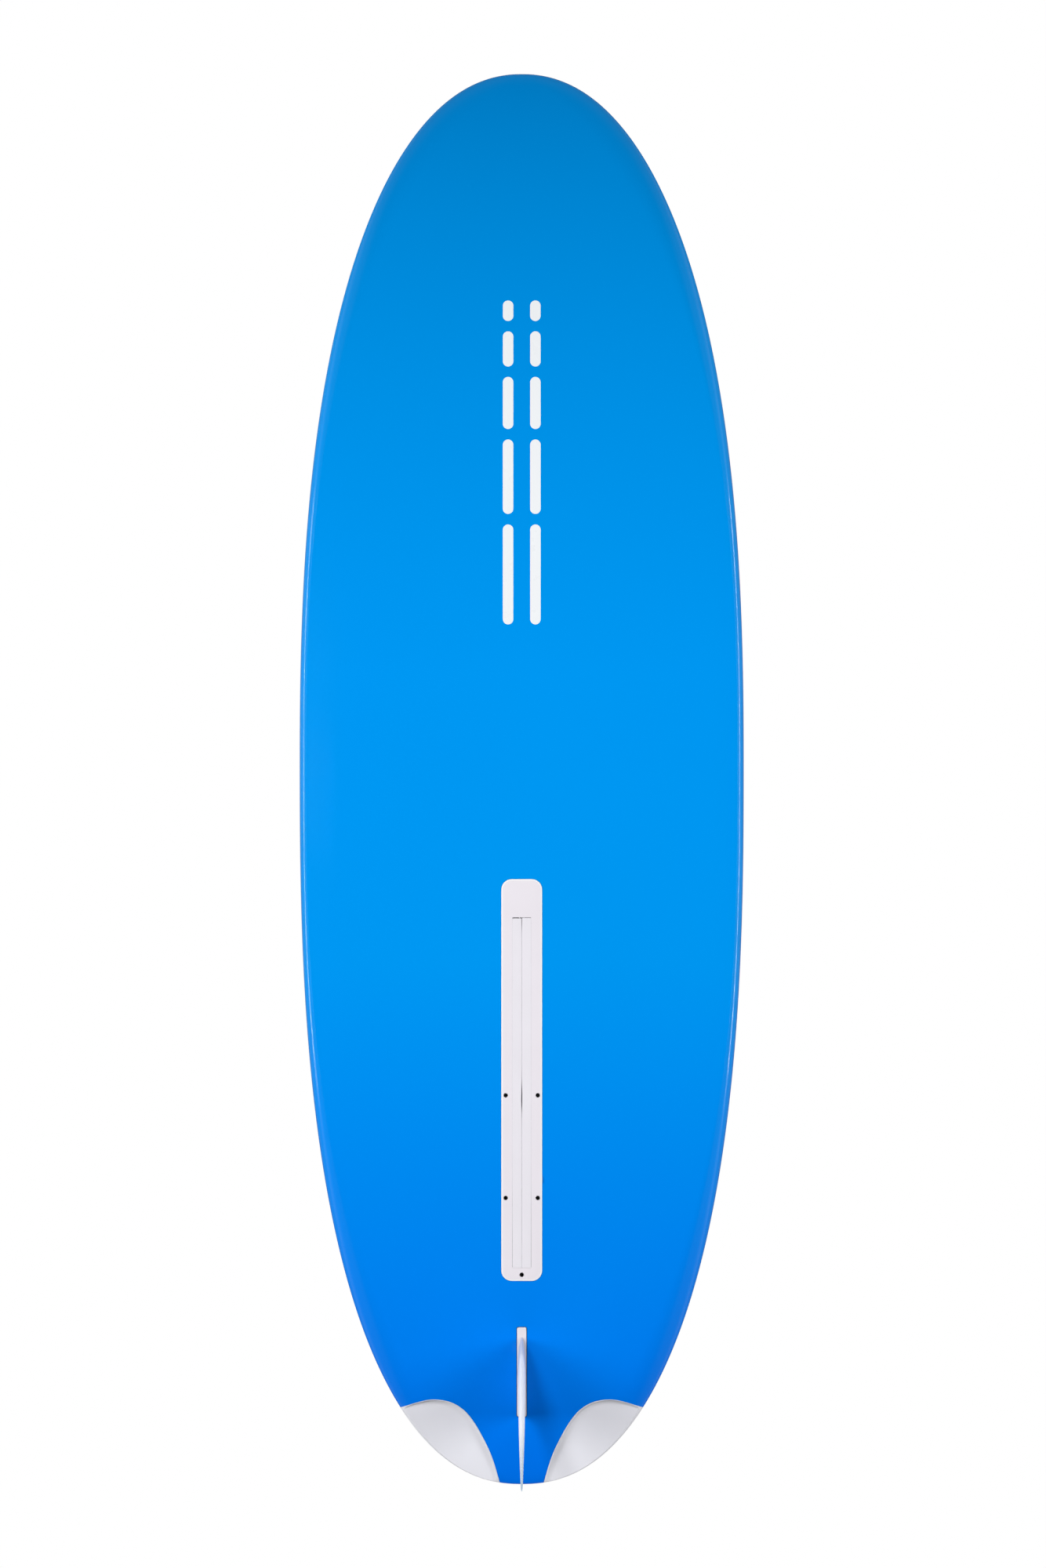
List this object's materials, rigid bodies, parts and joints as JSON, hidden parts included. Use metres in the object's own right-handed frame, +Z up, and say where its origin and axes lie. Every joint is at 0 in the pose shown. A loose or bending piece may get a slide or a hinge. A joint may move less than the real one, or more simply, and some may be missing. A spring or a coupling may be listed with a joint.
{
  "type": "windsurf board",
  "caption": "Beginner windsurf board with a blue bottom, stepped tail cutaways, white fin and a swinging centreboard worked by a foot lever on the deck.",
  "frame": {"origin": "on the centre line and on the flat of the bottom, 1.345 m ahead of the tail", "axes": "+X to the nose, +Y to port, +Z up out of the deck"},
  "size_m": [2.7164, 0.849, 0.576],
  "materials": {
    "hull_blue": "glossy sprayed polyurethane paint on a moulded skin",
    "deck_white": "satin white sprayed skin",
    "foam": "moulded expanded polystyrene beads",
    "panel_grey": "satin pale grey moulded skin",
    "plate_white": "satin white moulded plastic",
    "lip_white": "matt white flexible lip",
    "fin_white": "polished white fibre-reinforced plastic",
    "blade_grey": "satin grey fibre-reinforced plastic",
    "black_plastic": "fine-grained black moulded plastic",
    "rubber": "matt black rubber",
    "pad_grey": "grooved closed-cell deck foam",
    "webbing": "padded nylon webbing",
    "steel": "stainless steel",
    "brass": "turned brass"
  },
  "bodies": {
    "board": {"bottom_shell": "hull_blue", "deck_shell": "deck_white", "foam_core": "foam", "tail_cutaway_port": "panel_grey", "tail_cutaway_starboard": "panel_grey", "centreboard_case": "black_plastic", "bottom_slot_plate": "plate_white", "slot_lip_port": "lip_white", "slot_lip_starboard": "lip_white", "slot_plate_screw_1": "steel", "slot_plate_screw_2": "steel", "slot_plate_screw_3": "steel", "slot_plate_screw_4": "steel", "slot_plate_screw_5": "steel", "deck_slot_plate": "black_plastic", "deck_plate_screw_1": "steel", "deck_plate_screw_2": "steel", "deck_plate_screw_3": "steel", "deck_plate_screw_4": "steel", "pivot_pin": "steel", "pivot_bush_port": "plate_white", "pivot_bush_starboard": "plate_white", "friction_pad_port": "rubber", "friction_pad_starboard": "rubber", "fin_box": "black_plastic", "fin": "fin_white", "fin_washer": "steel", "fin_bolt": "steel", "fin_barrel_nut": "brass", "mast_track": "black_plastic", "vent_socket": "black_plastic", "deck_pad": "pad_grey", "footstrap_port": "webbing", "strap_screw_port_front": "steel", "strap_plug_port_front": "black_plastic", "strap_screw_port_back": "steel", "strap_plug_port_back": "black_plastic", "footstrap_starboard": "webbing", "strap_screw_starboard_front": "steel", "strap_plug_starboard_front": "black_plastic", "strap_screw_starboard_back": "steel", "strap_plug_starboard_back": "black_plastic", "footstrap_rear": "webbing", "strap_screw_rear_front": "steel", "strap_plug_rear_front": "black_plastic", "strap_screw_rear_back": "steel", "strap_plug_rear_back": "black_plastic"},
    "centreboard": {"centreboard_blade": "blade_grey", "centreboard_lever": "steel", "lever_grip": "rubber", "lever_rivet_upper": "steel", "lever_rivet_lower": "steel"},
    "vent_carrier": {"vent_o_ring": "rubber"},
    "vent": {"vent_screw": "steel"}
  },
  "joints": [
    {"name": "centreboard_swing", "type": "hinge", "parent": "board", "child": "centreboard", "pos_m": [-0.335, 0, 0.062], "axis": [0, -1, 0], "range_deg": [0, 85], "deforming": ["slot_lip_port", "slot_lip_starboard"]},
    {"name": "vent_lift", "type": "slide", "parent": "board", "child": "vent_carrier", "axis": [0, 0, 1], "range_m": [0, 0.0025]},
    {"name": "vent_turn", "type": "hinge", "parent": "vent_carrier", "child": "vent", "pos_m": [0.33, 0, 0.12], "axis": [0, 0, 1], "range_deg": [0, 720]}
  ],
  "couplings": [
    {"joint": "vent_turn", "follows": "vent_lift", "rad_per_m": 5026.5}
  ]
}
